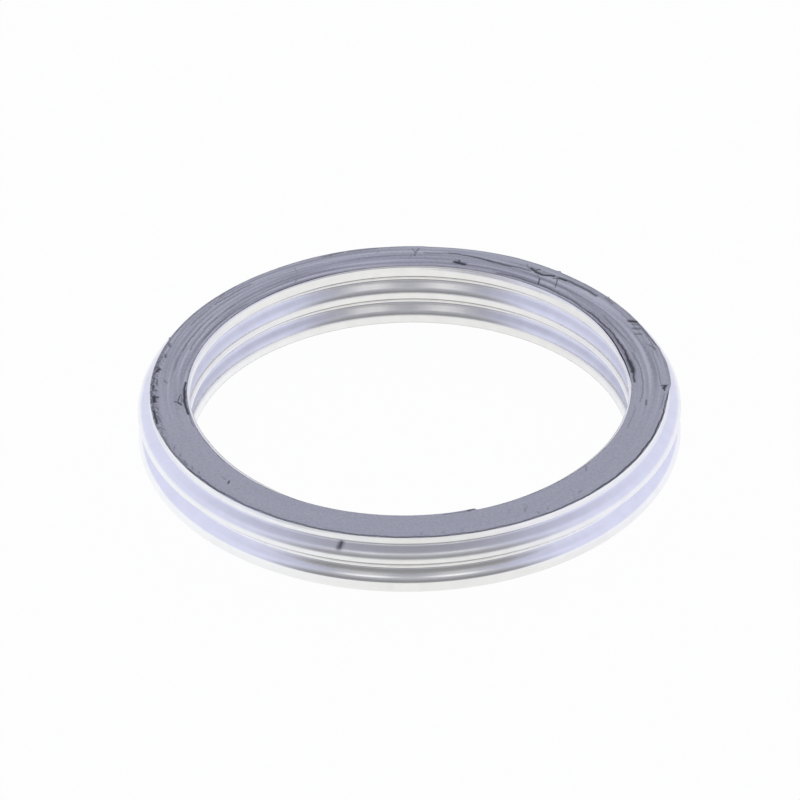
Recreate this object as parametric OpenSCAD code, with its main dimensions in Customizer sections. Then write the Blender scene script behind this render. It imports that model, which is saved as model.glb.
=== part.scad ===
// Exhaust gasket: expanded graphite wound between two folded sheet-metal bands.
// The axis is Z, and the lower graphite face lies on z = 0. Millimetres.

/* [Ring] */
// Inner diameter at the inner folds and lips
inner_d = 33.9; // [20:0.1:80]
// Width of the ring from the inner crests to the outer crests
ring_w = 4.05; // [3.9:0.05:8]
// Height of the ring past the last crease, at each end
end_h = 0.54; // [0.4:0.01:1.5]

/* [Folds] */
// Height of one fold, crease to crease
fold_pitch = 2.14; // [2:0.02:2.6]
// Number of full folds on the outer band
outer_folds = 2; // [1:1:4]
// How far the crests of the outer folds sit below the middle of their fold
outer_sag = 0.05; // [0:0.01:0.12]
// How far the crests of the inner folds sit below the middle of their fold
inner_sag = 0.08; // [0:0.01:0.12]
// Thickness of the sheet metal
sheet_t = 0.2; // [0.1:0.02:0.24]

/* [Outer band] */
// Depth of a crease below the crests
outer_depth = 0.88; // [0.7:0.01:1]
// Radius of a fold above its crest
outer_over_r = 0.8; // [0.5:0.01:0.82]
// Radius of a fold below its crest
outer_under_r = 0.26; // [0.25:0.01:0.6]
// Radius at the bottom of a crease
outer_crease_r = 0.12; // [0.05:0.01:0.16]
// How far the crests stand out from the upper lip
upper_lip_in = 1; // [0.85:0.05:1.1]
// How far the crests stand out from the lower lip
lower_lip_in = 1.6; // [1.2:0.05:1.7]
// How far the edge of an outer lip lies below the graphite face
outer_lip_drop = 0.07; // [0.05:0.01:0.3]

/* [Inner band] */
// Depth of a crease below the crests
inner_depth = 0.76; // [0.6:0.01:0.9]
// Radius of a fold above its crest
inner_over_r = 0.85; // [0.5:0.01:0.85]
// Radius of a fold below its crest
inner_under_r = 0.64; // [0.25:0.01:0.7]
// Radius at the bottom of a crease
inner_crease_r = 0.18; // [0.05:0.01:0.18]
// How far the edge of an inner lip lies below the graphite face
inner_lip_drop = 0.05; // [0.02:0.01:0.3]

/* [Graphite] */
// How far the graphite face overhangs the outer lip
face_overhang = 0.05; // [0:0.01:0.2]

/* [Hidden] */
$fn = 180;

// Height of the ring, and the rise of a flank above and below a crest
ring_h = outer_folds * fold_pitch + 2 * end_h;
outer_over_rise = fold_pitch / 2 + outer_sag;
outer_under_rise = fold_pitch / 2 - outer_sag;
inner_over_rise = fold_pitch / 2 + inner_sag;
inner_under_rise = fold_pitch / 2 - inner_sag;

// Heights of the outer crests from the lowest up, and of the inner ones half a pitch away from them
outer_crests = [for (i = [0:outer_folds - 1]) end_h + (i + 0.5) * fold_pitch - outer_sag];
inner_crests = [for (i = [0:outer_folds]) end_h + i * fold_pitch - inner_sag];
outer_creases = [for (i = [1:outer_folds - 1]) end_h + i * fold_pitch];
inner_creases = [for (i = [0:outer_folds - 1]) end_h + (i + 0.5) * fold_pitch];

// Radii of the crests and lips
inner_crest_r = inner_d / 2;
outer_crest_r = inner_crest_r + ring_w;
upper_lip_r = outer_crest_r - upper_lip_in;
lower_lip_r = outer_crest_r - lower_lip_in;
face_inner_r = inner_crest_r + sheet_t;
// Radius in the middle of the graphite, where the two sides of the section are joined
core_r = (lower_lip_r + inner_crest_r) / 2;

// Angle that a flank turns through from the crest: it touches the round of a fold, of radius r,
// and the round of a crease, of radius c, whose bottom lies depth below the crest and rise along
function flank_angle(r, c, depth, rise) =
    atan2(rise, r + c - depth) - acos((r + c) / norm([r + c - depth, rise]));

// The two ends of that flank, as [depth below the crest, way along from the crest].
// Inset draws the surface into the fold.
function flank_ends(r, c, depth, rise, inset) =
    let (a = flank_angle(r, c, depth, rise))
    [
        [r - (r - inset) * cos(a), (r - inset) * sin(a)],
        [depth - c + (c + inset) * cos(a), rise - (c + inset) * sin(a)]
    ];

// Upright strip of the section from radius r0 to r1, between heights z0 and z1
module strip(r0, r1, z0, z1) {
    translate([r0, z0]) square([r1 - r0, z1 - z0]);
}

// Quarter of a round on the side of a crest: outward 1 or -1, and above (side 1) or below it (-1)
module quarter_round(center_r, z, r, outward, side) {
    intersection() {
        translate([center_r, z]) circle(r = r);
        translate([outward > 0 ? center_r : center_r - r, side > 0 ? z : z - r]) square(r);
    }
}

// Points of the outer band's section from the bottom up, with straight lines in place of its rounds
function outer_points(inset) = [
    [core_r, 0],
    [lower_lip_r - inset, 0],
    [lower_lip_r - inset, end_h + inset],
    [outer_crest_r - outer_under_rise, end_h + inset],
    for (i = [0:outer_folds - 1])
        let (z = outer_crests[i], top = i == outer_folds - 1)
        let (
            depth = top ? upper_lip_in : outer_depth,
            under = flank_ends(outer_under_r, outer_crease_r, outer_depth, outer_under_rise, inset),
            over = flank_ends(outer_over_r, outer_crease_r, depth, outer_over_rise, inset)
        )
        each [
            if (i > 0) [outer_crest_r - under[1][0], z - under[1][1]],
            if (i > 0) [outer_crest_r - under[0][0], z - under[0][1]],
            [outer_crest_r - inset, z],
            [outer_crest_r - over[0][0], z + over[0][1]],
            [outer_crest_r - over[1][0], z + over[1][1]]
        ],
    [upper_lip_r - inset, ring_h - end_h],
    [upper_lip_r - inset, ring_h],
    [core_r, ring_h]
];

// Section of all that lies within the outer band, drawn in from its surface by inset
module within_outer(inset) {
    difference() {
        union() {
            polygon(outer_points(inset));
            for (i = [0:outer_folds - 1]) {
                under_r = i > 0 ? outer_under_r : outer_under_rise;
                quarter_round(outer_crest_r - outer_over_r, outer_crests[i], outer_over_r - inset, 1, 1);
                quarter_round(outer_crest_r - under_r, outer_crests[i], under_r - inset, 1, -1);
            }
        }
        for (z = outer_creases)
            translate([outer_crest_r - outer_depth + outer_crease_r, z]) circle(r = outer_crease_r + inset);
        translate([upper_lip_r + outer_crease_r, ring_h - end_h]) circle(r = outer_crease_r + inset);
    }
}

// Points of the inner band's section from the top down, with straight lines in place of its rounds
function inner_points(inset) = [
    [core_r, ring_h],
    [inner_crest_r + inset, ring_h],
    for (i = [outer_folds:-1:0])
        let (
            z = inner_crests[i],
            over = flank_ends(inner_over_r, inner_crease_r, inner_depth, inner_over_rise, inset),
            under = flank_ends(inner_under_r, inner_crease_r, inner_depth, inner_under_rise, inset)
        )
        each [
            if (i < outer_folds) [inner_crest_r + over[1][0], z + over[1][1]],
            if (i < outer_folds) [inner_crest_r + over[0][0], z + over[0][1]],
            [inner_crest_r + inset, z],
            if (i > 0) [inner_crest_r + under[0][0], z - under[0][1]],
            if (i > 0) [inner_crest_r + under[1][0], z - under[1][1]]
        ],
    [inner_crest_r + inset, 0],
    [core_r, 0]
];

// Section of all that lies outside the inner band, drawn back from its surface by inset
module beyond_inner(inset) {
    difference() {
        union() {
            polygon(inner_points(inset));
            for (i = [0:outer_folds - 1])
                quarter_round(inner_crest_r + inner_over_r, inner_crests[i], inner_over_r - inset, -1, 1);
            for (i = [1:outer_folds])
                quarter_round(inner_crest_r + inner_under_r, inner_crests[i], inner_under_r - inset, -1, -1);
        }
        for (z = inner_creases)
            translate([inner_crest_r + inner_depth - inner_crease_r, z]) circle(r = inner_crease_r + inset);
    }
}

// Sheet between a surface and the same surface one sheet thickness further in
module outer_band_section() {
    intersection() {
        difference() {
            within_outer(0);
            within_outer(sheet_t);
        }
        strip(core_r, outer_crest_r + sheet_t, outer_lip_drop, ring_h - outer_lip_drop);
    }
}

module inner_band_section() {
    intersection() {
        difference() {
            beyond_inner(0);
            beyond_inner(sheet_t);
        }
        strip(inner_crest_r - sheet_t, core_r, inner_lip_drop, ring_h - inner_lip_drop);
    }
}

// Folded band around the outside
module outer_band() {
    color("gainsboro") rotate_extrude() outer_band_section();
}

// Folded band around the hole
module inner_band() {
    color("gainsboro") rotate_extrude() inner_band_section();
}

// Graphite packed between the bands, with faces that spread over the edges of the outer lips
module graphite_winding() {
    color([0.6, 0.6, 0.67]) rotate_extrude() {
        within_outer(sheet_t);
        beyond_inner(sheet_t);
        strip(face_inner_r, lower_lip_r + face_overhang, 0, outer_lip_drop);
        strip(face_inner_r, upper_lip_r + face_overhang, ring_h - outer_lip_drop, ring_h);
    }
}

graphite_winding();
outer_band();
inner_band();
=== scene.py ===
"""An exhaust gasket on a white studio floor: graphite wound between two folded steel bands."""

import math

import bpy
import numpy as np
from mathutils import Matrix, Vector


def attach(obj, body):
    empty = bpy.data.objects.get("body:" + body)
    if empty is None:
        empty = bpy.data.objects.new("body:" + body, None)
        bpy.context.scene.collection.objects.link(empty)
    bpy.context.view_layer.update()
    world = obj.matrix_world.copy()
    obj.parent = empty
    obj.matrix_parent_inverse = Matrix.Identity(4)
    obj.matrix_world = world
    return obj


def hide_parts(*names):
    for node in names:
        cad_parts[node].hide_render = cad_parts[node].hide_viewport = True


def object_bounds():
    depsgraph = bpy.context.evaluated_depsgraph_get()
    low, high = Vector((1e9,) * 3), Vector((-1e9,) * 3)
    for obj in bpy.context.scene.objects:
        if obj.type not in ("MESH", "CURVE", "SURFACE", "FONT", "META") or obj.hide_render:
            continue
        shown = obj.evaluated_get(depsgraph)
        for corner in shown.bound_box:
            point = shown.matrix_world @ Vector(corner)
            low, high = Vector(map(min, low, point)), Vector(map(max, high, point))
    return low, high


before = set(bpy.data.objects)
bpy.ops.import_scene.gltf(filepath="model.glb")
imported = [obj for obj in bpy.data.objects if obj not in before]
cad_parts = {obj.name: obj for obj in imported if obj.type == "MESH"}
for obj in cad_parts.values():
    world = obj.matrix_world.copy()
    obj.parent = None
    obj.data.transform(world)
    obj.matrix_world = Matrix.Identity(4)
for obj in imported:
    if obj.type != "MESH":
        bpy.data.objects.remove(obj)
cad_low, cad_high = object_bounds()

MM = 0.001

# Radius and height of the ring, in millimetres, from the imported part
OUTER_CREST_R = round(cad_high[0] / MM, 3)
RING_H = round(cad_high[2] / MM, 3)

# Other sizes of the ring and its folded bands, as in the part's source
RING_W = 4.05
FOLD_PITCH = 2.14
OUTER_FOLDS = 2
INNER_SAG = 0.08
OUTER_SAG = 0.05
SHEET_T = 0.2
OUTER_DEPTH = 0.88
OUTER_OVER_R = 0.8
OUTER_UNDER_R = 0.26
OUTER_CREASE_R = 0.12
UPPER_LIP_IN = 1.0
LOWER_LIP_IN = 1.6
OUTER_LIP_DROP = 0.07
INNER_DEPTH = 0.76
INNER_OVER_R = 0.85
INNER_UNDER_R = 0.64
INNER_CREASE_R = 0.18
INNER_LIP_DROP = 0.05
FACE_OVERHANG = 0.05

# The crease under the upper outer lip is softer in the photograph than in the source
LIP_CREASE_R = 0.2

# Sizes that follow from them
HALF_FOLD = FOLD_PITCH / 2
END_H = (RING_H - OUTER_FOLDS * FOLD_PITCH) / 2
INNER_CREST_R = OUTER_CREST_R - RING_W
UPPER_LIP_R = OUTER_CREST_R - UPPER_LIP_IN
LOWER_LIP_R = OUTER_CREST_R - LOWER_LIP_IN
UPPER_FACE_R = UPPER_LIP_R + FACE_OVERHANG
LOWER_FACE_R = LOWER_LIP_R + FACE_OVERHANG
FACE_INNER_R = INNER_CREST_R + SHEET_T

# Points along the round of a fold, of a crease, and of the quarter round under the lowest outer fold
CROWN_POINTS = 24
TROUGH_POINTS = 16
TUCK_POINTS = 40
# Blur of a band's corners and steps along its line, in millimetres, on its bright side and its back
BRIGHT_BLUR = 0.05
BRIGHT_STEP = 0.08
BACK_BLUR = 0.08
BACK_STEP = 0.3
# Steps round the ring, and the points across the graphite's two faces
BAND_TURNS = 720
GRAPHITE_TURNS = 1200
UPPER_FACE_POINTS = 52
LOWER_FACE_POINTS = 4

# Size of the graphite's bevelled edges, the space it leaves behind the sheet metal and at the edge
# of a lip, and the steps along its hidden sides
GRAPHITE_EDGE = 0.03
SHEET_CLEARANCE = 0.01
LAP_CLEARANCE = 0.005
HIDDEN_STEP = 0.8

# How far below the upper face the uneven edges still move a band and the graphite
BAND_REACH = 0.45
GRAPHITE_REACH = 0.12
# Depth of the marks, how near to the face a point sinks with them, and how near it is coloured
MARK_DEPTH = 0.05
SINK_REACH = 0.01
COLOUR_REACH = 0.1

# The camera of the photograph: its elevation, roll, distance and lens
CAMERA_ELEVATION = 34.21
CAMERA_ROLL = 0.0132
CAMERA_DISTANCE = 537.0
CAMERA_LENS = 313.0
SENSOR_WIDTH = 36.0
IMAGE_SIZE = 800
# Nearest and farthest that it sees, in metres
CAMERA_NEAR = 0.01
CAMERA_FAR = 20
# Where the photograph shows the centre of the upper face, in pixels from its left and top edges
FACE_CENTRE_PX = (409.14, 386.92)


def make_camera():
    """Puts the camera where the photograph was taken from."""
    elevation = math.radians(CAMERA_ELEVATION)
    face_centre = Vector((0, 0, RING_H))
    back = Vector((0, -math.cos(elevation), math.sin(elevation)))
    location = face_centre + CAMERA_DISTANCE * back
    level_right = Vector((1, 0, 0))
    level_up = Vector((0, math.sin(elevation), math.cos(elevation)))
    right = math.cos(CAMERA_ROLL) * level_right - math.sin(CAMERA_ROLL) * level_up
    up = math.sin(CAMERA_ROLL) * level_right + math.cos(CAMERA_ROLL) * level_up
    mm_per_px = CAMERA_DISTANCE * SENSOR_WIDTH / CAMERA_LENS / IMAGE_SIZE
    aside = (FACE_CENTRE_PX[0] - IMAGE_SIZE / 2) * mm_per_px
    above = (IMAGE_SIZE / 2 - FACE_CENTRE_PX[1]) * mm_per_px
    aim = face_centre - aside * right - above * up
    back = (location - aim).normalized()
    right = up.cross(back).normalized()
    up = back.cross(right)
    data = bpy.data.cameras.new("photo_camera")
    data.lens = CAMERA_LENS
    data.sensor_width = SENSOR_WIDTH
    data.clip_start = CAMERA_NEAR
    data.clip_end = CAMERA_FAR
    camera = bpy.data.objects.new("photo_camera", data)
    turn = Matrix((right, up, back)).transposed().to_4x4()
    camera.matrix_world = Matrix.Translation(location * MM) @ turn
    bpy.context.scene.collection.objects.link(camera)
    bpy.context.scene.camera = camera


# Sections, as rows of (radius, height) in millimetres


def arc(centre, radius, start, end, count):
    """Points along an arc, with its angles in degrees from the outward direction."""
    angles = np.radians(np.linspace(start, end, count))
    return np.stack([centre[0] + radius * np.cos(angles), centre[1] + radius * np.sin(angles)], 1)


def flank(over, crease, depth, rise):
    """Angle that a fold turns through from its crest to the straight flank down to its crease."""
    across = over + crease - depth
    span = math.hypot(across, rise)
    return math.degrees(math.atan2(rise, across) - math.acos((over + crease) / span))


def half_fold(crest_z, way, over, crease, depth, rise, inset):
    """From the crest to the bottom of a crease, up (way 1) or down (way -1).

    The rows are (depth below the crests, z). Inset draws the surface into the fold.
    """
    turn = flank(over, crease, depth, rise)
    crown = arc((over, 0), over - inset, 180, 180 - turn, CROWN_POINTS)
    trough = arc((depth - crease, rise), crease + inset, -turn, 0, TROUGH_POINTS)
    line = np.concatenate([crown, trough])
    line[:, 1] = crest_z + way * line[:, 1]
    return line


def even_steps(points, step):
    """The same line with points at even steps along it."""
    lengths = np.hypot(*np.diff(points, axis=0).T)
    along = np.concatenate([[0], np.cumsum(lengths)])
    count = max(2, int(round(along[-1] / step)) + 1)
    marks_and_painted_light = np.linspace(0, along[-1], count)
    return np.stack([np.interp(marks_and_painted_light, along, points[:, k]) for k in (0, 1)], 1)


def softened(points, blur, step):
    """The line at even steps, with its corners rounded over a length of about blur."""
    steps_per_blur = 4
    reach = 3 * steps_per_blur
    fine = even_steps(points, blur / steps_per_blur)
    weights = np.exp(-0.5 * (np.arange(-reach, reach + 1) / steps_per_blur) ** 2)
    weights /= weights.sum()
    before = 2 * fine[0] - fine[1 : reach + 1][::-1]
    after = 2 * fine[-1] - fine[-reach - 1 : -1][::-1]
    padded = np.concatenate([before, fine, after])
    smooth = np.stack([np.convolve(padded[:, k], weights, "valid") for k in (0, 1)], 1)
    return even_steps(smooth, step)


def outer_surface(inset, lip_end):
    """The outer band's outer surface from the top down, drawn in by inset."""
    rows = [np.array([[UPPER_LIP_R - inset, RING_H - lip_end]])]
    for k in reversed(range(OUTER_FOLDS)):
        crest = END_H + (k + 0.5) * FOLD_PITCH - OUTER_SAG
        depth = UPPER_LIP_IN if k == OUTER_FOLDS - 1 else OUTER_DEPTH
        crease = LIP_CREASE_R if k == OUTER_FOLDS - 1 else OUTER_CREASE_R
        over = half_fold(crest, 1, OUTER_OVER_R, crease, depth, HALF_FOLD + OUTER_SAG, inset)[::-1]
        if k > 0:
            sizes = (OUTER_UNDER_R, OUTER_CREASE_R, OUTER_DEPTH, HALF_FOLD - OUTER_SAG)
            under = half_fold(crest, -1, *sizes, inset)
        else:
            radius = HALF_FOLD - OUTER_SAG
            under = arc((radius, crest), radius - inset, 180, 270, TUCK_POINTS)
        for line in (over, under):
            line[:, 0] = OUTER_CREST_R - line[:, 0]
            rows.append(line)
    rows.append(np.array([[LOWER_LIP_R - inset, END_H + inset], [LOWER_LIP_R - inset, lip_end]]))
    return np.concatenate(rows)


def inner_surface(inset, lip_end):
    """The inner band's surface towards the hole from the top down, drawn back by inset."""
    rows = [np.array([[INNER_CREST_R + inset, RING_H - lip_end]])]
    sizes = (INNER_CREASE_R, INNER_DEPTH)
    for k in reversed(range(OUTER_FOLDS + 1)):
        crest = END_H + k * FOLD_PITCH - INNER_SAG
        if k < OUTER_FOLDS:
            rows.append(half_fold(crest, 1, INNER_OVER_R, *sizes, HALF_FOLD + INNER_SAG, inset)[::-1])
            rows[-1][:, 0] += INNER_CREST_R
        if k > 0:
            rows.append(half_fold(crest, -1, INNER_UNDER_R, *sizes, HALF_FOLD - INNER_SAG, inset))
            rows[-1][:, 0] += INNER_CREST_R
    rows.append(np.array([[INNER_CREST_R + inset, lip_end]]))
    return np.concatenate(rows)


def revolve(name, section, turns, shape):
    """A closed ring whose section is turned about Z. shape(azimuth, r, z) gives the moved r and z."""
    azimuth = round_the_ring(turns)
    r, z = shape(azimuth, section[None, :, 0], section[None, :, 1])
    x = r * np.cos(azimuth)
    y = r * np.sin(azimuth)
    z = np.broadcast_to(z, x.shape)
    points = np.stack([x, y, z], 2).reshape(-1, 3) * MM
    rows = len(section)
    index = np.arange(turns * rows).reshape(turns, rows)
    onward = np.roll(index, -1, 0)
    below = np.roll(index, -1, 1)
    below_onward = np.roll(onward, -1, 1)
    faces = np.stack([index, below, below_onward, onward], 2).reshape(-1, 4)
    mesh = bpy.data.meshes.new(name)
    mesh.vertices.add(len(points))
    mesh.vertices.foreach_set("co", points.ravel())
    mesh.loops.add(faces.size)
    mesh.loops.foreach_set("vertex_index", faces.ravel())
    mesh.polygons.add(len(faces))
    mesh.polygons.foreach_set("loop_start", np.arange(0, faces.size, 4))
    mesh.polygons.foreach_set("use_smooth", np.ones(len(faces), bool))
    mesh.update(calc_edges=True)
    mesh.validate()
    piece = bpy.data.objects.new(name, mesh)
    bpy.context.scene.collection.objects.link(piece)
    return piece


def round_the_ring(turns):
    """Azimuths at even steps round the ring, in radians, as a column."""
    return np.linspace(0, 2 * math.pi, turns, endpoint=False)[:, None]


def add_values(piece, name, values):
    """Gives each point of a piece a value that its material reads by this name."""
    attribute = piece.data.attributes.new(name, "FLOAT", "POINT")
    attribute.data.foreach_set("value", values.ravel().astype(np.float32))


# Edges of the graphite's upper face, as (azimuth, radius): degrees round from the right, millimetres
OUTER_EDGE = [
    (0, 20.26), (8, 20.24), (13, 20.14), (14, 20.17), (16, 20.07), (22, 19.92), (36, 19.88),
    (37.3, 19.88), (37.8, 20.03), (38.3, 19.87), (48, 19.88), (52.3, 19.92), (53.0, 20.12),
    (53.8, 19.96), (65, 20.04), (75, 19.97), (85, 19.88), (86.5, 19.95), (95, 19.94), (102, 20.00),
    (112, 19.94), (122, 19.82), (135, 19.83), (148, 19.89), (158.2, 19.93), (158.7, 20.10),
    (159.4, 19.92), (172, 20.00), (182, 20.00), (187, 20.03), (189, 20.00), (192, 20.06),
    (195, 20.04), (196, 19.96), (212, 19.92), (225, 19.88), (240, 19.90), (255, 19.95),
    (270, 19.97), (300, 19.97), (315, 19.94), (330, 19.90), (345, 19.86), (353, 19.88),
    (357, 20.04), (360, 20.26),
]
INNER_EDGE = [
    (0, 17.25), (6, 17.10), (15, 17.02), (30, 17.17), (45, 17.22), (60, 17.27), (75, 17.25),
    (90, 17.20), (105, 17.17), (120, 17.12), (140, 17.15), (160, 17.20), (180, 17.20),
    (195, 17.12), (205, 17.04), (215, 17.07), (225, 17.14), (240, 17.18), (255, 17.16),
    (270, 17.14), (280, 17.10), (286.4, 17.00), (286.8, 17.23), (295, 17.18), (305, 17.11),
    (315, 17.08), (330, 17.10), (345, 17.16), (360, 17.22),
]
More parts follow.
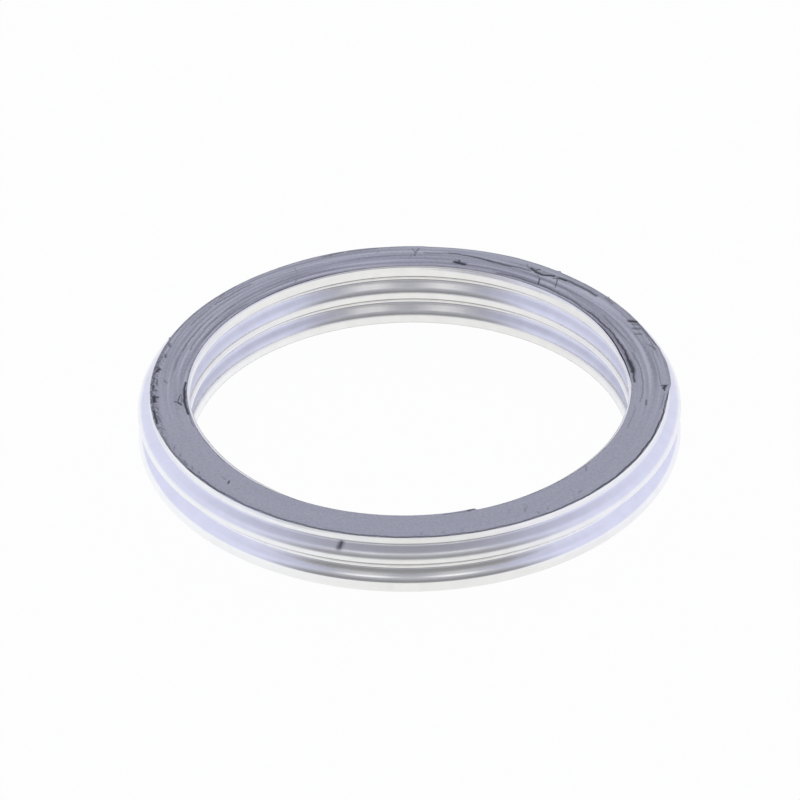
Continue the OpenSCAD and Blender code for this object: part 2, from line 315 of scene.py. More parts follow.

# Cracks, gaps and flecks in the upper face, a painted shadow line and painted highlights, as
# (azimuth from, radius from, azimuth to, radius to, half width, depth). A depth of 1 is the deepest,
# and one below 0 is a painted highlight, pale, on an edge that stands up
MARKS = [
    # Gap inside the lip on the right
    (1, 17.44, 8, 17.42, 0.08, 0.75),
    (7, 17.42, 14, 17.40, 0.11, 1.0),
    (5.5, 17.42, 11.0, 17.42, 0.17, 1.0),
    (13, 17.40, 21, 17.42, 0.09, 0.9),
    (20, 17.42, 36, 17.42, 0.07, 0.8),
    (36, 17.42, 53, 17.50, 0.07, 0.6),
    (53, 17.48, 66, 17.40, 0.08, 0.45),
    # Edges of the tape's turns on the right
    (0, 19.45, 7, 19.36, 0.04, 0.35),
    (7, 19.36, 14, 19.48, 0.04, 0.35),
    (0, 18.10, 9, 18.02, 0.05, 0.35),
    (9, 18.02, 14, 17.90, 0.05, 0.4),
    (14, 18.12, 20, 18.10, 0.05, 0.4),
    (20, 18.10, 25, 17.92, 0.05, 0.45),
    (25, 17.92, 32, 18.06, 0.05, 0.4),
    # Nicks under the outer edge on the right
    (14, 19.75, 16, 19.50, 0.08, 0.5),
    (16, 19.50, 16.4, 19.20, 0.05, 0.3),
    (20.8, 19.45, 21.4, 19.02, 0.11, 0.45),
    (23.0, 19.62, 23.7, 19.22, 0.13, 0.5),
    (24.8, 19.70, 25.4, 19.42, 0.11, 0.45),
    (26.0, 19.82, 26.9, 19.42, 0.15, 0.9),
    (15.5, 19.96, 26.0, 19.80, 0.06, 0.6),
    (26.6, 19.40, 27.3, 19.30, 0.06, 0.6),
    (35, 19.60, 38, 19.70, 0.08, 0.35),
    # Long break in the turns behind, from the right to the middle
    (40, 19.32, 49, 19.36, 0.13, 0.6),
    (49.5, 19.30, 51.5, 19.20, 0.13, 0.8),
    (51.5, 19.15, 52.5, 18.90, 0.07, 0.6),
    (53, 19.20, 55.5, 18.85, 0.12, 0.9),
    (55.5, 18.85, 57.5, 18.90, 0.13, 0.8),
    (57.3, 19.40, 58.0, 19.10, 0.07, 0.7),
    (57.5, 18.95, 59.3, 19.15, 0.12, 0.8),
    (59, 18.80, 64, 18.78, 0.10, 0.5),
    (64, 18.72, 70, 18.74, 0.11, 0.6),
    (69, 18.76, 74, 19.04, 0.10, 0.7),
    (74, 19.04, 80, 19.10, 0.09, 0.65),
    (80, 19.10, 86, 18.98, 0.06, 0.5),
    # Slanting cracks across it
    (51.8, 19.15, 49.7, 17.95, 0.035, 0.8),
    (56.8, 18.80, 56.0, 18.45, 0.035, 0.5),
    (55.2, 18.25, 54.0, 17.50, 0.05, 0.8),
    (60.9, 19.50, 60.0, 19.10, 0.03, 0.5),
    # Dark fleck near the hole, behind
    (75.3, 17.80, 77.8, 17.94, 0.17, 1.0),
    (76.6, 17.90, 77.0, 18.20, 0.09, 0.8),
    (78.2, 17.80, 78.4, 18.05, 0.05, 0.6),
    # Forked mark at the back
    (87.2, 19.60, 88.0, 19.05, 0.05, 0.6),
    (88.9, 19.55, 88.1, 19.05, 0.04, 0.5),
    (88.0, 19.10, 88.2, 18.55, 0.05, 0.6),
    (89.0, 18.9, 89.1, 18.2, 0.03, 0.3),
    # Nicks and streaks under the outer edge at the back left
    (97, 19.80, 104, 19.76, 0.06, 0.4),
    (105, 19.80, 110, 19.72, 0.06, 0.5),
    (107.8, 19.80, 108.2, 19.60, 0.05, 0.6),
    (130, 19.22, 142, 19.26, 0.06, 0.5),
    (143, 19.30, 152, 19.24, 0.05, 0.4),
    (137, 19.75, 139, 19.65, 0.06, 0.4),
    (96.8, 19.30, 97.4, 19.05, 0.04, 0.3),
    (117.8, 19.20, 118.1, 18.60, 0.04, 0.3),
    (120, 17.60, 121, 17.30, 0.05, 0.3),
    # Streaks between the turns on the left
    (146, 18.46, 151, 18.42, 0.04, 0.3),
    (151, 18.42, 163, 18.40, 0.05, 0.4),
    (139, 18.02, 146, 17.98, 0.04, 0.3),
    (146, 18.02, 162, 17.90, 0.06, 0.4),
    (137, 17.42, 156, 17.44, 0.05, 0.3),
    (160, 18.32, 172, 18.38, 0.04, 0.25),
    (176, 18.95, 177, 18.75, 0.07, 0.45),
    # Ragged turns under the outer edge on the left
    (161, 19.75, 162, 19.55, 0.09, 0.6),
    (165.5, 19.55, 166.5, 19.45, 0.10, 0.6),
    (171.5, 19.62, 172.3, 19.72, 0.14, 0.8),
    (178.0, 19.80, 179.0, 19.78, 0.10, 0.7),
    (182.5, 19.72, 184.5, 19.70, 0.16, 0.85),
    (188.0, 19.86, 193.0, 19.88, 0.10, 0.8),
    (165, 19.62, 168, 19.68, 0.04, 0.4),
    (170.6, 19.75, 171.6, 19.45, 0.07, 0.8),
    (175.5, 19.55, 178, 19.48, 0.06, 0.6),
    (179.5, 19.75, 180.2, 19.50, 0.07, 0.7),
    (182.4, 19.85, 182.8, 19.40, 0.09, 0.9),
    (186.5, 19.70, 187.4, 19.50, 0.06, 0.6),
    (190.5, 19.65, 192.5, 19.60, 0.05, 0.5),
    (195, 19.70, 196, 19.55, 0.05, 0.4),
    # Forked crack near the hole on the left, and the gap inside the lip there
    (185.0, 18.15, 185.4, 17.85, 0.06, 0.9),
    (185.4, 17.90, 186.6, 17.65, 0.07, 0.9),
    (184.8, 17.86, 182.6, 17.72, 0.05, 0.7),
    (182.2, 17.62, 185.6, 17.60, 0.04, 0.5),
    (176.5, 17.28, 180, 17.38, 0.08, 0.9),
    (180, 17.38, 186, 17.36, 0.12, 1.0),
    (186, 17.34, 191, 17.32, 0.10, 1.0),
    (191, 17.28, 197, 17.26, 0.04, 0.4),
    # Short slanting nicks at the front left, and a fleck
    (203, 19.50, 204.4, 19.75, 0.04, 0.4),
    (206, 19.40, 207.2, 19.70, 0.04, 0.35),
    (209, 19.70, 211, 19.78, 0.05, 0.5),
    (212, 19.55, 213.2, 19.70, 0.04, 0.45),
    (214.5, 19.48, 215.5, 19.62, 0.04, 0.4),
    (222.0, 18.45, 222.5, 18.72, 0.06, 0.8),
    (219.5, 18.50, 221, 18.52, 0.05, 0.3),
    (225.2, 18.9, 226, 18.6, 0.04, 0.25),
    # Scratches at the front
    (272.0, 19.7, 272.4, 19.45, 0.04, 0.35),
    (277.0, 19.7, 277.3, 19.45, 0.04, 0.35),
    (281.0, 19.7, 281.4, 19.5, 0.04, 0.3),
    (297.0, 19.0, 297.6, 18.5, 0.04, 0.4),
    (298.0, 18.7, 298.6, 18.2, 0.03, 0.35),
    (293.2, 18.7, 294.0, 18.2, 0.03, 0.25),
    (299.3, 19.7, 299.5, 19.4, 0.04, 0.35),
    (301.8, 19.6, 302.2, 19.4, 0.04, 0.3),
    (311.0, 19.3, 312.4, 19.2, 0.06, 0.25),
    (319.0, 17.7, 320.4, 17.3, 0.05, 0.4),
    # End of the innermost turn at the front
    (284.5, 17.18, 286.5, 17.06, 0.06, 0.9),
    (278.0, 17.32, 285.0, 17.22, 0.04, 0.4),
    # Painted shadow along the gap under the outer edge in front
    (198, 19.92, 212, 19.90, 0.05, 0.5),
    (212, 19.90, 225, 19.85, 0.06, 0.7),
    (225, 19.85, 240, 19.87, 0.05, 0.6),
    (240, 19.87, 255, 19.92, 0.05, 0.6),
    (255, 19.92, 270, 19.94, 0.05, 0.6),
    (270, 19.94, 300, 19.94, 0.05, 0.6),
    (300, 19.94, 315, 19.91, 0.05, 0.7),
    (315, 19.91, 330, 19.87, 0.06, 0.8),
    (330, 19.87, 350, 19.83, 0.06, 0.9),
    (350, 19.83, 357, 19.98, 0.05, 0.7),
    # Line along the inner edge in front
    (198, 17.12, 205, 17.08, 0.04, 0.4),
    (205, 17.08, 215, 17.11, 0.04, 0.45),
    (215, 17.11, 240, 17.22, 0.04, 0.4),
    (240, 17.22, 270, 17.18, 0.04, 0.3),
    (287, 17.26, 295, 17.22, 0.04, 0.3),
    (295, 17.22, 315, 17.12, 0.04, 0.4),
    (315, 17.12, 330, 17.14, 0.04, 0.4),
    # The outermost turn stands off by its end on the right, with a painted highlight on its edge
    (334, 19.76, 345, 19.75, 0.04, -0.5),
    (345, 19.75, 355.5, 19.80, 0.05, -0.9),
    (350, 19.64, 356, 19.68, 0.04, 0.3),
    # Flakes on the left, with painted highlights
    (170.8, 19.85, 176.0, 19.86, 0.06, -0.6),
    (177.5, 19.62, 179.5, 19.70, 0.05, -0.5),
    (186.8, 19.66, 189.5, 19.70, 0.05, -0.4),
    (183.0, 17.66, 185.2, 17.74, 0.05, -0.6),
    (184.6, 17.98, 184.8, 18.06, 0.05, -0.4),
    # Notch at the end of the outermost turn on the right
    (359.3, 19.46, 359.4, 19.90, 0.06, 1.0),
    (358.3, 19.64, 359.1, 19.76, 0.13, 1.0),
    (357.4, 19.70, 358.4, 19.70, 0.07, 1.0),
    (351.0, 18.42, 353.0, 18.38, 0.07, 0.5),
    (340.0, 17.70, 350.0, 17.62, 0.04, 0.25),
    (352.0, 17.95, 360.0, 18.05, 0.05, 0.3),
]

# Crumbled patches, as (azimuth, half length in degrees, radius, half width, strength)
CRUMBLED = [
    (179, 17, 19.66, 0.24, 0.95),
    (20, 9, 19.60, 0.30, 0.45),
    (53, 8, 19.05, 0.28, 0.6),
    (103, 12, 19.75, 0.16, 0.45),
    (138, 16, 19.30, 0.45, 0.3),
    (184, 5, 17.85, 0.25, 0.5),
    (75, 5, 17.55, 0.25, 0.4),
    (215, 18, 19.75, 0.12, 0.4),
]

# How far the inner lip drops below its place, as (azimuth, millimetres): in front it is hidden
LIP_DROP = [(0, 0.05), (15, 0.1), (40, 0), (226, 0), (240, 0.13), (345, 0.13), (360, 0.05)]

# Middle radius of the upper face, by which degrees are turned into millimetres along it
FACE_MIDDLE_R = 18.5
# Marks are drawn a little wider and stronger than the table says
MARK_WIDENING = 1.15
MARK_GAIN = 1.2
# Long marks waver, in full from this length on
FULL_WAVER_LENGTH = 2
# Waves round the ring, as (height in millimetres, radians of wave for each degree, start in radians)
MARK_WAVER = [(0.03, 0.7, 0), (0.015, 2.3, 1)]
SEAM_WANDER = [(0.06, 1.9, 0), (0.05, 4.3, 1)]
# The dark rim behind and the seam on the left follow a line this far inside the outer edge
RIM_INSET = 0.04

# The dark nick on the upper outer fold, left of the middle in front: its azimuth and half width in
# degrees, its depth below the face and half height in millimetres, and its slant in degrees a millimetre
NICK_AZIMUTH = 254.9
NICK_HALF_WIDTH = 0.55
NICK_BELOW = 0.86
NICK_HALF_HEIGHT = 0.24
NICK_SLANT = 0.9
NICK_STRENGTH = 0.95

# The upper outer fold is brushed dull down to this depth below the face, and the lower one is bright.
# The brushing is 1 above and 0 below, and the shift is added to both
BRUSHED_DOWN_TO = 1.8
BRUSHED_FADE = 0.15
BRUSHED_SHIFT = -0.25

# The inner folds get painted shade, a darker colour, high above their crests, as (number of the crest
# from the bottom, strength).
# The zone begins and ends this far above the crest, and fades over these heights
INNER_PAINTED_SHADE = [(1, 0.20), (0, 0.28)]
PAINTED_SHADE_FROM = 0.4
PAINTED_SHADE_TO = 1.0
PAINTED_SHADE_FADE_IN = 0.3
PAINTED_SHADE_FADE_OUT = 0.15


def by_azimuth(table, azimuth):
    """Reads a table of (degrees, value) at azimuths in radians."""
    degrees, values = np.array(table).T
    return np.interp(np.degrees(azimuth) % 360, degrees, values)


def waves(degrees, table):
    """Sum of the sine waves of a table."""
    return sum(height * np.sin(degrees * rate + start) for height, rate, start in table)


def bump(distance, power):
    """1 where the distance is 0, falling to 0 past 1, the more squarely the higher the power."""
    return np.exp(-(distance**power))


def edge_shift(azimuth, r):
    """How far the upper edges move the points at radius r outward, fading towards the middle."""
    outward = by_azimuth(OUTER_EDGE, azimuth) - UPPER_FACE_R
    inward = by_azimuth(INNER_EDGE, azimuth) - FACE_INNER_R
    middle = (UPPER_FACE_R + FACE_INNER_R) / 2
    half = (UPPER_FACE_R - FACE_INNER_R) / 2
    side = np.clip((r - middle) / half, -1, 1)
    return np.where(side > 0, outward * side**4, inward * side**4)


def near_top(z, reach):
    """1 at the upper face, falling to 0 at reach below it."""
    share = np.clip((z - RING_H + reach) / reach, 0, 1)
    return share * share * (3 - 2 * share)


def drawn_marks(degrees, r):
    """The cracks, gaps, flecks, painted shadow line and painted highlights of the table. Where two meet,
    the stronger one counts.
    """
    depth = np.zeros(np.broadcast(degrees, r).shape)
    waver = waves(degrees, MARK_WAVER)
    along = math.radians(1) * FACE_MIDDLE_R
    for start, start_r, end, end_r, half_width, strength in MARKS:
        dx = (end - start) * along
        dy = end_r - start_r
        px = (degrees - start) * along
        py = r + waver * min(1, abs(dx) / FULL_WAVER_LENGTH) - start_r
        share = np.clip((px * dx + py * dy) / (dx * dx + dy * dy), 0, 1)
        apart = np.hypot(px - share * dx, py - share * dy) / (MARK_WIDENING * half_width)
        mark = np.clip(MARK_GAIN * strength, -1, 1) * bump(apart, 3)
        depth = np.where(np.abs(mark) > np.abs(depth), mark, depth)
    return depth


def rear_rim(azimuth, degrees, r, rim):
    """The outer edge behind is dark and ragged."""
    half_width = 0.06
    rear = np.clip(np.sin(azimuth) * 3 + 0.4, 0, 1)
    ragged = 0.32 + 0.18 * np.sin(degrees * 0.9)
    ragged = ragged + 0.14 * np.sin(degrees * 2.7 + 2) * np.sin(degrees * 0.37)
    return rear * ragged * bump((r - rim) / half_width, 2)


def left_seam(degrees, r, rim):
    """On the left a dark crumbled seam wanders along the outer edge."""
    middle = 181
    half_length = 17
    inset = 0.1
    half_width = 0.1 + 0.04 * np.sin(degrees * 3.1)
    nearby = bump((degrees - middle) / half_length, 4)
    strength = 0.75 + 0.25 * np.sin(degrees * 2.2) * np.sin(degrees * 5.1)
    return nearby * strength * bump((r - rim + inset + waves(degrees, SEAM_WANDER)) / half_width, 2)


def crumbled_patches(degrees, r):
    """Crumbled turns show as mottled patches."""
    mottle = np.sin(degrees * 6.1 + 9 * r) * np.sin(degrees * 2.3 - 14 * r)
    mottle = mottle + 0.4 * np.sin(degrees * 11 + 25 * r)
    mottle = np.clip(mottle * 1.6 - 0.35, 0, 1)
    depth = np.zeros(mottle.shape)
    for middle, half_length, ring, half_width, strength in CRUMBLED:
        patch = bump((degrees - middle) / half_length, 4) * bump((r - ring) / half_width, 4)
        depth = np.maximum(depth, strength * patch * mottle)
    return depth


def marks_depth(azimuth, r):
    """Depth of the marks in the upper face, between 0 and 1, and below 0 for a painted highlight where
    it stands up.
    """
    degrees = np.degrees(azimuth) % 360
    rim = by_azimuth(OUTER_EDGE, azimuth) - RIM_INSET
    depth = drawn_marks(degrees, r)
    depth = np.maximum(depth, rear_rim(azimuth, degrees, r, rim))
    depth = np.maximum(depth, left_seam(degrees, r, rim))
    return np.maximum(depth, crumbled_patches(degrees, r))


def band_shape(azimuth, r, z):
    """The bands' lips follow the edges of the graphite."""
    top = near_top(z, BAND_REACH)
    drop = by_azimuth(LIP_DROP, azimuth) * (r < (UPPER_FACE_R + FACE_INNER_R) / 2)
    return r + edge_shift(azimuth, r) * top, z - drop * top


def graphite_radius(azimuth, r, z):
    """Radius of the graphite's points with the uneven edges of its face."""
    return r + edge_shift(azimuth, r) * near_top(z, GRAPHITE_REACH)


def graphite_shape(azimuth, r, z):
    """The face with its uneven edges and its marks."""
    moved = graphite_radius(azimuth, r, z)
    marks_and_painted_light = marks_depth(azimuth, moved) * (z > RING_H - SINK_REACH)
    return moved, z - MARK_DEPTH * np.maximum(marks_and_painted_light, 0)


def make_outer_band():
    """The outer band, with its dark nick and its brushed upper fold."""
    bright = softened(outer_surface(0, OUTER_LIP_DROP), BRIGHT_BLUR, BRIGHT_STEP)
    back = softened(outer_surface(SHEET_T, OUTER_LIP_DROP), BACK_BLUR, BACK_STEP)
    section = np.concatenate([bright, back[::-1]])
    piece = revolve("folded_outer_band", section, BAND_TURNS, band_shape)
    degrees = np.degrees(round_the_ring(BAND_TURNS))
    above = section[None, :, 1] - RING_H
    from_nick = above + NICK_BELOW
    across = bump((degrees - NICK_AZIMUTH - NICK_SLANT * from_nick) / NICK_HALF_WIDTH, 2)
    clear_of_face = section[None, :, 0] > UPPER_FACE_R
    nick = NICK_STRENGTH * across * bump(from_nick / NICK_HALF_HEIGHT, 4) * clear_of_face
    add_values(piece, "marks_and_painted_light", nick)
    brushed = np.clip((above + BRUSHED_DOWN_TO) / BRUSHED_FADE, 0, 1) + BRUSHED_SHIFT
    add_values(piece, "brushed", np.broadcast_to(brushed, nick.shape))
    return piece


def make_inner_band():
    """The inner band, with painted shade high on its folds."""
    bright = softened(inner_surface(0, INNER_LIP_DROP), BRIGHT_BLUR, BRIGHT_STEP)
    back = softened(inner_surface(SHEET_T, INNER_LIP_DROP), BACK_BLUR, BACK_STEP)
    section = np.concatenate([back, bright[::-1]])
    piece = revolve("folded_inner_band", section, BAND_TURNS, band_shape)
    # Painted shade: the colour is darkened high above the crests of the inner folds
    painted_shade = np.zeros((BAND_TURNS, len(section)))
    for k, strength in INNER_PAINTED_SHADE:
        above = section[None, :, 1] - (END_H + k * FOLD_PITCH - INNER_SAG)
        begun = np.clip((above - PAINTED_SHADE_FROM) / PAINTED_SHADE_FADE_IN, 0, 1)
        lasting = np.clip((PAINTED_SHADE_TO - above) / PAINTED_SHADE_FADE_OUT, 0, 1)
        painted_shade += strength * begun * lasting
    add_values(piece, "marks_and_painted_light", painted_shade)
    return piece


def make_graphite():
    """The graphite winding, with its finest steps across the upper face."""
    edge = GRAPHITE_EDGE
    hidden = SHEET_T + SHEET_CLEARANCE
    lap = OUTER_LIP_DROP - LAP_CLEARANCE
    top_r = np.linspace(FACE_INNER_R + edge, UPPER_FACE_R - edge, UPPER_FACE_POINTS)
    under_r = np.linspace(LOWER_FACE_R - edge, FACE_INNER_R + edge, LOWER_FACE_POINTS)
    section = np.concatenate([
        np.stack([top_r, np.full(UPPER_FACE_POINTS, RING_H)], 1),
        [[UPPER_FACE_R, RING_H - edge], [UPPER_FACE_R, RING_H - lap]],
        even_steps(outer_surface(hidden, OUTER_LIP_DROP), HIDDEN_STEP),
        [[LOWER_FACE_R, lap], [LOWER_FACE_R, edge]],
        np.stack([under_r, np.zeros(LOWER_FACE_POINTS)], 1),
        [[FACE_INNER_R, edge]],
        even_steps(inner_surface(hidden, OUTER_LIP_DROP), HIDDEN_STEP)[::-1],
        [[FACE_INNER_R, RING_H - edge]],
    ])
    piece = revolve("wound_graphite", section, GRAPHITE_TURNS, graphite_shape)
    azimuth = round_the_ring(GRAPHITE_TURNS)
    z = section[None, :, 1]
    depth = marks_depth(azimuth, graphite_radius(azimuth, section[None, :, 0], z))
    add_values(piece, "marks_and_painted_light", depth * (z > RING_H - COLOUR_REACH))
    return piece


# Materials, the floor and the room


class Nodes:
    """The nodes of one material or world, with short ways to add and link them."""

    def __init__(self, owner):
        owner.use_nodes = True
        self.tree = owner.node_tree
        self.tree.nodes.clear()

    def add(self, kind, *values, **settings):
        """A new node with these settings. The values or outputs feed its first inputs, in order."""
        node = self.tree.nodes.new("ShaderNode" + kind)
        for name, value in settings.items():
            setattr(node, name, value)
        for socket, value in zip(node.inputs, values):
            self.feed(socket, value)
        return node

    def feed(self, socket, value):
        """Links an output to an input, or gives the input a number or an opaque colour."""
        if isinstance(value, bpy.types.NodeSocket):
            self.tree.links.new(value, socket)
        elif isinstance(value, tuple):
            socket.default_value = (*value, 1)
        else:
            socket.default_value = value

    def math(self, operation, *values, clamp=False):
        """The result of a sum, product or other operation, held between 0 and 1 if clamp is set."""
        return self.add("Math", *values, operation=operation, use_clamp=clamp).outputs[0]

    def attribute(self, name):
        """The value that add_values gave to the piece by this name, or 0."""
        return self.add("Attribute", attribute_name=name).outputs["Fac"]

    def place(self, kind="Object"):
        """The place that is shaded, or in a world the direction."""
        return self.add("TexCoord").outputs[kind]

    def noise(self, place, scale, detail):
        """A soft random value between 0 and 1."""
        node = self.add("TexNoise")
        for name, value in (("Vector", place), ("Scale", scale), ("Detail", detail)):
            self.feed(node.inputs[name], value)
        return node.outputs[0]

    def mixed(self, share, first, second):
        """The first colour where share is 0, the second where it is 1."""
        node = self.add("Mix", share, data_type="RGBA")
        self.feed(node.inputs[6], first)
        self.feed(node.inputs[7], second)
        return node.outputs[2]

    def rescaled(self, value, low, high, to_low=0, to_high=1):
        """The value moved from one range to another and held inside it."""
        node = self.add("MapRange", value)
        names = ("From Min", "From Max", "To Min", "To Max")
        for name, limit in zip(names, (low, high, to_low, to_high)):
            node.inputs[name].default_value = limit
        return node.outputs[0]

    def ramp(self, value, stops, kind="LINEAR"):
        """Colours by value: the stops are (place between 0 and 1, red, green, blue)."""
        node = self.add("ValToRGB", value)
        node.color_ramp.interpolation = kind
        elements = node.color_ramp.elements
        for _ in stops[2:]:
            elements.new(0.5)
        for element, (place, *colour) in zip(elements, stops):
            element.position = place
            element.color = (*colour, 1)
        return node.outputs[0]


def new_material(name):
    """A material, its nodes and its shader."""
    material = bpy.data.materials.new(name)
    nodes = Nodes(material)
    shader = nodes.add("BsdfPrincipled")
    nodes.add("OutputMaterial", shader.outputs[0])
    return material, nodes, shader


# The steel's roughness where it is bright, what full brushing adds to it, and its faint clouds
STEEL_ROUGHNESS = 0.21
BRUSHED_ROUGHNESS = 0.12
CLOUD_STRENGTH = 0.16
CLOUD_SHIFT = -0.06
# The graphite's streaks repeat this often round the ring and to a millimetre across it, and the
# strengths of its streaks in front and behind and of its grain
STREAKS_ROUND = 1.8
STREAKS_ACROSS = 4
FRONT_STREAKS = 0.15
REAR_STREAKS = 1.9
GRAIN_STRENGTH = 0.5
# Middle of a noise's values
NOISE_MIDDLE = 0.5


def steel_material():
    """Bright steel, duller where the piece is brushed, dark in its marks and in the painted shade on the
    inner folds.
    """
    material, nodes, shader = new_material("bright_steel")
    shader.inputs["Metallic"].default_value = 1
    brushed = nodes.attribute("brushed")
    rough = nodes.math("MULTIPLY_ADD", brushed, BRUSHED_ROUGHNESS, STEEL_ROUGHNESS)
    nodes.feed(shader.inputs["Roughness"], rough)
    cloud = nodes.noise(nodes.place(), scale=900, detail=4)
    uneven = nodes.math("MULTIPLY_ADD", cloud, CLOUD_STRENGTH, CLOUD_SHIFT)
    # The attribute holds the marks and, on the inner band, painted shade high on the folds
    dark = nodes.math("ADD", nodes.attribute("marks_and_painted_light"), uneven, clamp=True)
    colour = nodes.mixed(dark, (0.98, 0.975, 0.96), (0.10, 0.09, 0.12))
    nodes.feed(shader.inputs["Base Color"], colour)
    return material


def graphite_material():
    """Grey-violet graphite with the streaks of its turns, darker in its marks and painted shadow, pale
    in its painted highlights.
    """
    material, nodes, shader = new_material("graphite")
    shader.inputs["Roughness"].default_value = 0.6
    place = nodes.place()
    x, y, _ = nodes.add("SeparateXYZ", place).outputs
    squares = nodes.math("ADD", nodes.math("MULTIPLY", x, x), nodes.math("MULTIPLY", y, y))
    metres = nodes.math("SQRT", squares)
    radius = nodes.math("DIVIDE", metres, MM)
    east = nodes.math("DIVIDE", x, metres)
    north = nodes.math("DIVIDE", y, metres)
    # Long streaks along the turns, strong behind and faint in front
    along = [nodes.math("MULTIPLY", part, STREAKS_ROUND) for part in (east, north)]
    across = nodes.math("MULTIPLY", radius, STREAKS_ACROSS)
    stretched = nodes.add("CombineXYZ", *along, across).outputs[0]
    streaks = nodes.math("SUBTRACT", nodes.noise(stretched, scale=1, detail=3), NOISE_MIDDLE)
    strength = nodes.rescaled(north, low=-0.35, high=0.25, to_low=FRONT_STREAKS, to_high=REAR_STREAKS)
    streaks = nodes.math("MULTIPLY", streaks, strength)
    # Fine grain
    grain = nodes.math("SUBTRACT", nodes.noise(place, scale=4500, detail=3), NOISE_MIDDLE)
    grain = nodes.math("MULTIPLY", grain, GRAIN_STRENGTH)
    tone = nodes.math("ADD", nodes.math("ADD", streaks, grain), NOISE_MIDDLE, clamp=True)
    colour = nodes.ramp(tone, [
        (0.15, 0.345, 0.33, 0.37),
        (0.50, 0.528, 0.534, 0.563),
        (0.85, 0.70, 0.70, 0.73),
    ])
    # Behind, the outermost turns are greyer
    outermost = nodes.rescaled(radius, low=19.2, high=19.6, to_high=0.5)
    rear = nodes.math("MULTIPLY", outermost, north, clamp=True)
    colour = nodes.mixed(rear, colour, (0.60, 0.62, 0.62))
    # Raised marks get a painted highlight, pale, and sunk ones are dark, the sunk line under the outer
    # edge in front being painted shadow
    marks_and_painted_light = nodes.attribute("marks_and_painted_light")
    painted_highlight = nodes.math("MULTIPLY", marks_and_painted_light, -1, clamp=True)
    sunk = nodes.math("MAXIMUM", marks_and_painted_light, 0, clamp=True)
    colour = nodes.mixed(painted_highlight, colour, (0.95, 0.95, 1.0))
    colour = nodes.mixed(sunk, colour, (0.035, 0.033, 0.045))
    nodes.feed(shader.inputs["Base Color"], colour)
    return material


# Half the floor's width, half the width over which its painted shade and tint in the metal change, and
# the radius of the other painted tint inside the hole, in metres
FLOOR_REACH = 3.0
TINT_REACH = 0.05
HOLE_TINT_R = 0.0155
# How much of the floor's white is glow, the rest being lit by the room
FLOOR_GLOW = 0.97


def floor_material():
    """White to the camera. In the metal it has painted shade and a painted bluish tint, from left to
    right.
    """
    material = bpy.data.materials.new("white_floor")
    nodes = Nodes(material)
    place = nodes.place()
    x = nodes.add("SeparateXYZ", place).outputs[0]
    across = nodes.rescaled(x, -TINT_REACH, TINT_REACH)
    # Painted shade and light: seen in the metal the floor is grey in the middle and bluish to the sides
    outside = nodes.ramp(across, [
        (0.31, 0.94, 0.96, 1.0),
        (0.46, 0.86, 0.86, 0.86),
        (0.60, 0.86, 0.86, 0.86),
        (0.72, 0.92, 0.93, 1.0),
    ])
    # Inside the hole it takes on painted shade and the painted violet light of the walls, to the left
    # and the right
    inside = nodes.ramp(across, [
        (0.33, 0.90, 0.92, 0.98),
        (0.37, 0.74, 0.76, 0.93),
        (0.45, 0.86, 0.86, 0.86),
        (0.55, 0.86, 0.86, 0.86),
        (0.63, 0.74, 0.76, 0.93),
        (0.67, 0.90, 0.92, 0.98),
    ])
    from_axis = nodes.add("VectorMath", place, operation="LENGTH").outputs["Value"]
    in_hole = nodes.math("LESS_THAN", from_axis, HOLE_TINT_R)
    rays = nodes.add("LightPath").outputs
    tint = nodes.mixed(rays["Is Glossy Ray"], (1, 1, 1), nodes.mixed(in_hole, outside, inside))
    matte = nodes.add("BsdfDiffuse", (0.9, 0.9, 0.9)).outputs[0]
    glow = nodes.add("Emission", tint, 1).outputs[0]
    share = nodes.math("MULTIPLY_ADD", rays["Is Camera Ray"], FLOOR_GLOW, rays["Is Glossy Ray"])
    nodes.add("OutputMaterial", nodes.add("MixShader", share, matte, glow).outputs[0])
    return material


def make_floor():
    """A white floor under the ring, far wider than the picture."""
    sides = ((-1, -1), (1, -1), (1, 1), (-1, 1))
    corners = [(x * FLOOR_REACH, y * FLOOR_REACH, 0) for x, y in sides]
    mesh = bpy.data.meshes.new("floor")
    mesh.from_pydata(corners, [], [(0, 1, 2, 3)])
    floor = bpy.data.objects.new("floor", mesh)
    bpy.context.scene.collection.objects.link(floor)
    floor.data.materials.append(floor_material())


# Two lamps high on the camera's side, one on each side of it: their height over the horizon, their
# angle away from the camera and their reach, in degrees
LAMP_HEIGHT = 60
LAMP_ASIDE = 25
LAMP_REACH = 20


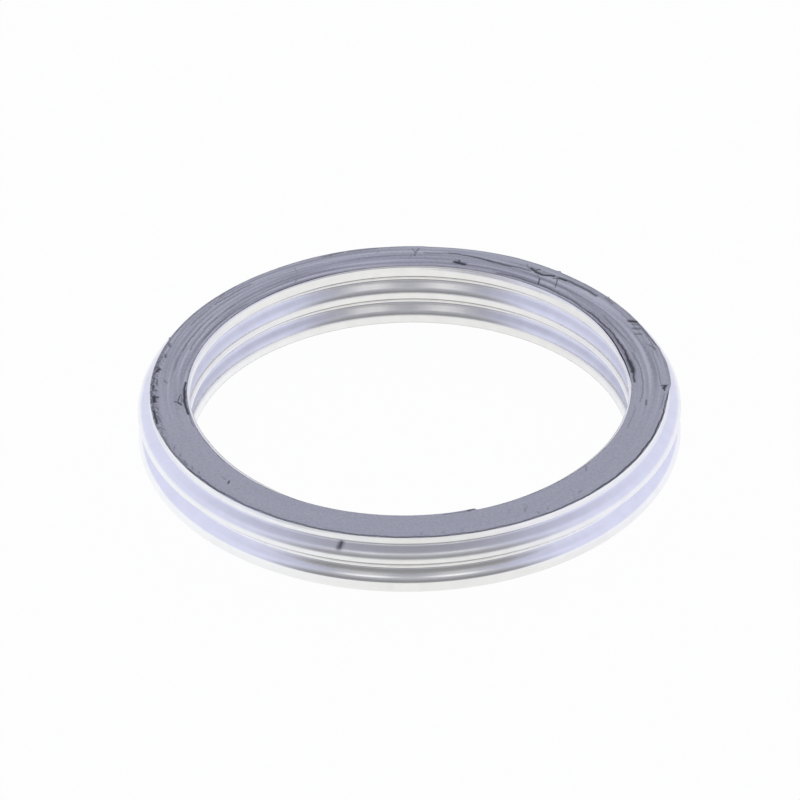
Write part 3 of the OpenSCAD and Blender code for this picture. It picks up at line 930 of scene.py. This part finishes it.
def make_room():
    """The world: its brightness by direction, with a grey opening on the camera's side."""
    world = bpy.data.worlds.new("studio")
    bpy.context.scene.world = world
    nodes = Nodes(world)
    x, y, z = nodes.add("SeparateXYZ", nodes.place("Generated")).outputs
    # Height over the horizon as a share of the way to the zenith, and the angle away from the
    # camera's side as a share of half a turn
    height = nodes.math("DIVIDE", nodes.math("ARCSINE", z), math.pi / 2, clamp=True)
    aside = nodes.math("ARCTAN2", nodes.math("ABSOLUTE", x), nodes.math("MULTIPLY", y, -1))
    aside = nodes.math("DIVIDE", aside, math.pi)
    camera_side = nodes.ramp(height, [
        (0.00, 0.60, 0.60, 0.61),
        (0.05, 0.30, 0.30, 0.31),
        (0.12, 0.25, 0.25, 0.26),
        (0.27, 0.275, 0.28, 0.30),
        (0.40, 0.38, 0.385, 0.42),
        (0.55, 0.46, 0.465, 0.52),
        (0.70, 0.44, 0.445, 0.50),
        (0.86, 0.28, 0.285, 0.33),
        (1.00, 0.25, 0.26, 0.29),
    ])
    flanks = nodes.ramp(height, [
        (0.00, 0.80, 0.82, 0.97),
        (0.12, 0.71, 0.73, 0.93),
        (0.45, 0.71, 0.73, 0.94),
        (0.58, 0.62, 0.64, 0.83),
        (0.70, 0.48, 0.49, 0.64),
        (0.86, 0.29, 0.29, 0.34),
        (1.00, 0.27, 0.28, 0.31),
    ])
    far_side = nodes.ramp(height, [
        (0.00, 0.85, 0.85, 0.86),
        (0.12, 0.78, 0.78, 0.80),
        (0.55, 0.76, 0.76, 0.78),
        (0.72, 0.50, 0.50, 0.54),
        (0.84, 0.29, 0.29, 0.33),
        (1.00, 0.27, 0.28, 0.31),
    ])
    turned = nodes.ramp(aside, [(0.20, 0, 0, 0), (0.38, 1, 1, 1)], "EASE")
    behind = nodes.ramp(aside, [(0.80, 0, 0, 0), (0.95, 1, 1, 1)], "EASE")
    colour = nodes.mixed(behind, nodes.mixed(turned, camera_side, flanks), far_side)
    up = math.radians(LAMP_HEIGHT)
    out = math.radians(LAMP_ASIDE)
    along = nodes.math("MULTIPLY", nodes.math("ABSOLUTE", x), math.cos(up) * math.sin(out))
    along = nodes.math("ADD", along, nodes.math("MULTIPLY", y, -math.cos(up) * math.cos(out)))
    along = nodes.math("ADD", along, nodes.math("MULTIPLY", z, math.sin(up)))
    apart = nodes.math("DIVIDE", nodes.math("ARCCOSINE", along), math.radians(LAMP_REACH), clamp=True)
    lamps = nodes.ramp(apart, [(0.15, 1, 1, 1), (0.55, 0, 0, 0)], "EASE")
    colour = nodes.mixed(lamps, colour, (1.1, 1.1, 1.12))
    # The camera sees plain white
    room = nodes.add("Background", colour).outputs[0]
    white = nodes.add("Background", (1, 1, 1)).outputs[0]
    camera_ray = nodes.add("LightPath").outputs["Is Camera Ray"]
    nodes.add("OutputWorld", nodes.add("MixShader", camera_ray, room, white).outputs[0])


bpy.context.scene.view_settings.view_transform = "Standard"
make_camera()
make_room()
make_floor()
steel = steel_material()
graphite = graphite_material()
for piece, node, slot, material in (
    (make_outer_band(), "outer_band", "band_steel", steel),
    (make_inner_band(), "inner_band", "band_steel", steel),
    (make_graphite(), "graphite_winding", "graphite", graphite),
):
    piece.data.materials.append(material)
    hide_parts(node)
    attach(piece, "root")
